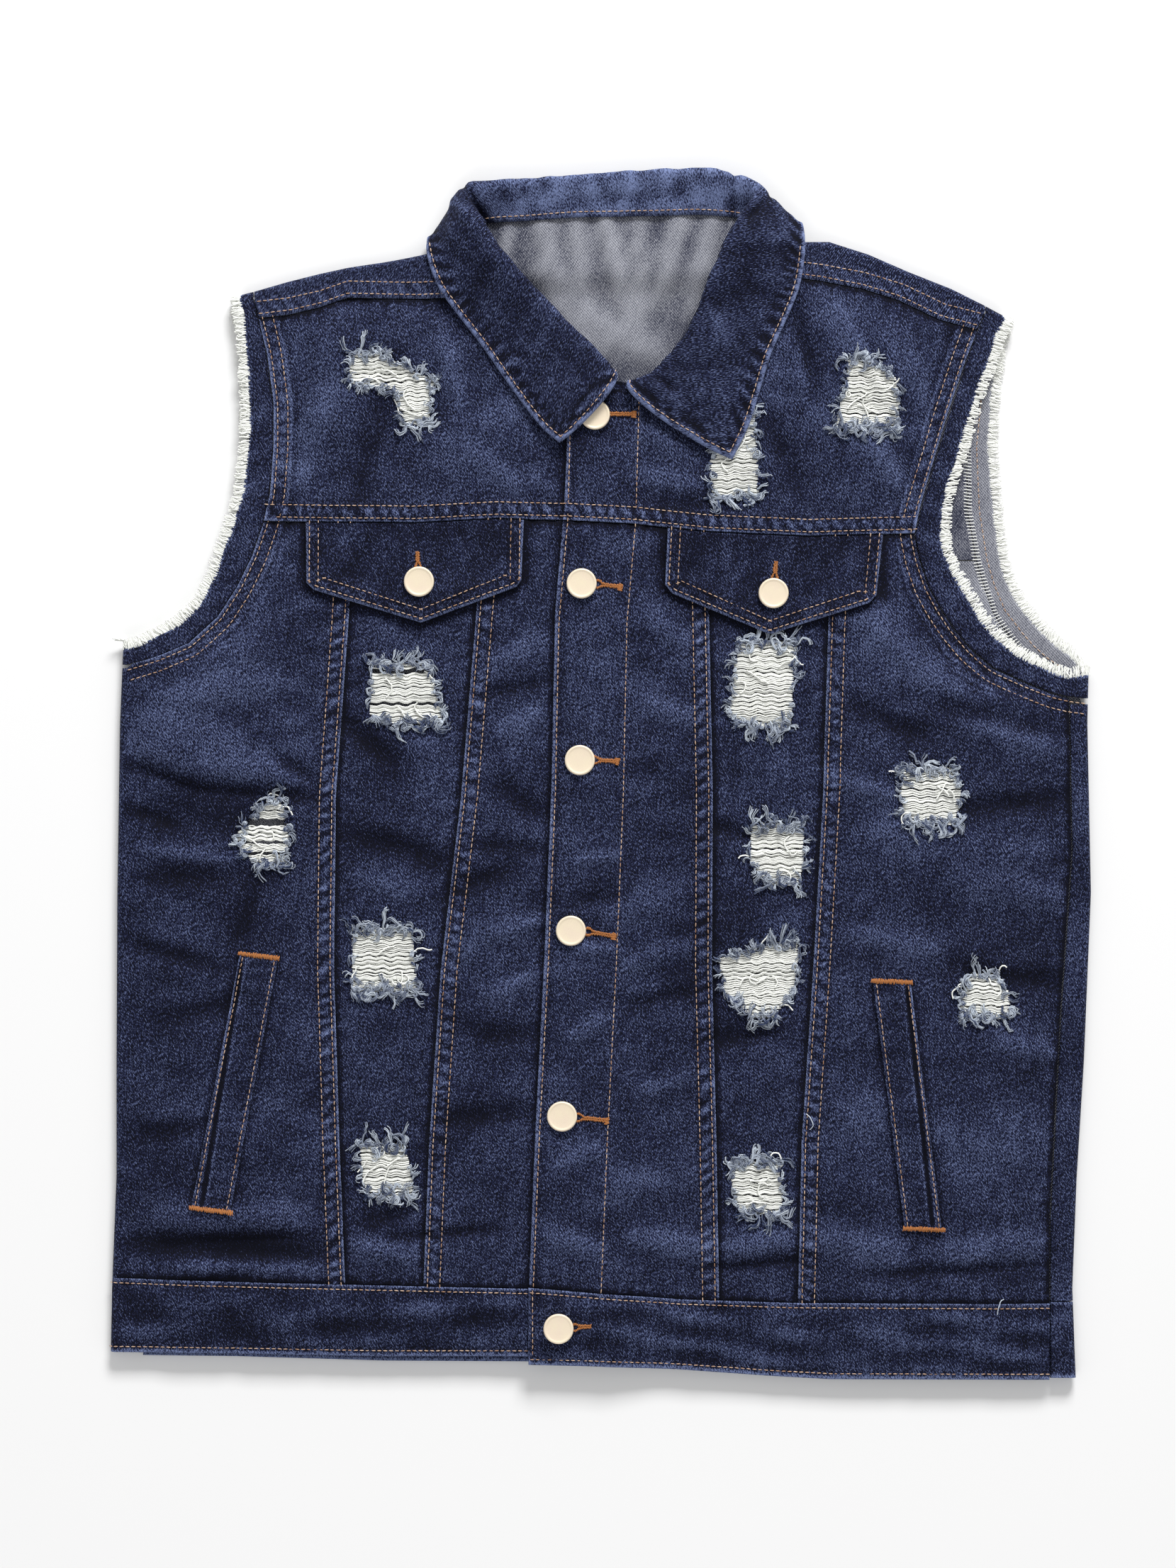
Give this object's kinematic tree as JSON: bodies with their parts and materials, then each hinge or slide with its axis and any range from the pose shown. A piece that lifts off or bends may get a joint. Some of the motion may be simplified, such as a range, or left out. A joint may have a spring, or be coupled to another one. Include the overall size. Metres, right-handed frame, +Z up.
{
  "type": "denim vest",
  "caption": "Sleeveless denim jacket laid flat, buttoned, with collar, chest flaps, slanted welt pockets, waistband, frayed armholes and thread-filled rips.",
  "frame": {"origin": "Middle of the outline, on the surface that the vest lies on", "axes": "+X to the right as seen in the picture, +Y towards the collar, +Z up from the surface, out of the front"},
  "size_m": [0.5542, 0.684, 0.0221],
  "materials": {
    "denim": "Dark indigo twill with lighter worn edges and paler wrong side",
    "cotton": "Undyed off-white cotton yarn",
    "button_metal": "Satin champagne metal"
  },
  "bodies": {
    "root": {"back_panel": "denim", "back_yoke": "denim", "front_yoke_left": "denim", "front_yoke_right": "denim", "side_front_left": "denim", "mid_front_left": "denim", "centre_front_left": "denim", "centre_front_right": "denim", "mid_front_right": "denim", "side_front_right": "denim", "waistband_back": "denim", "waistband_front_left": "denim", "waistband_front_right": "denim", "flap_left": "denim", "flap_right": "denim", "welt_left": "denim", "welt_right": "denim", "collar": "denim", "sleeve_stub_front_left": "denim", "sleeve_stub_front_right": "denim", "sleeve_stub_back_left": "denim", "sleeve_stub_back_right": "denim", "fringe_front_left": "cotton", "fringe_front_right": "cotton", "fringe_back_left": "cotton", "fringe_back_right": "cotton", "rip_threads_1": "cotton", "rip_threads_2": "cotton", "rip_threads_3": "cotton", "rip_threads_4": "cotton", "rip_threads_5": "cotton", "rip_threads_6": "cotton", "rip_threads_7": "cotton", "rip_threads_8": "cotton", "rip_threads_9": "cotton", "rip_threads_10": "cotton", "rip_threads_11": "cotton", "rip_threads_12": "cotton", "rip_threads_13": "cotton", "button_1": "button_metal", "button_2": "button_metal", "button_3": "button_metal", "button_4": "button_metal", "button_5": "button_metal", "button_6": "button_metal", "flap_button_left": "button_metal", "flap_button_right": "button_metal"}
  },
  "joints": []
}
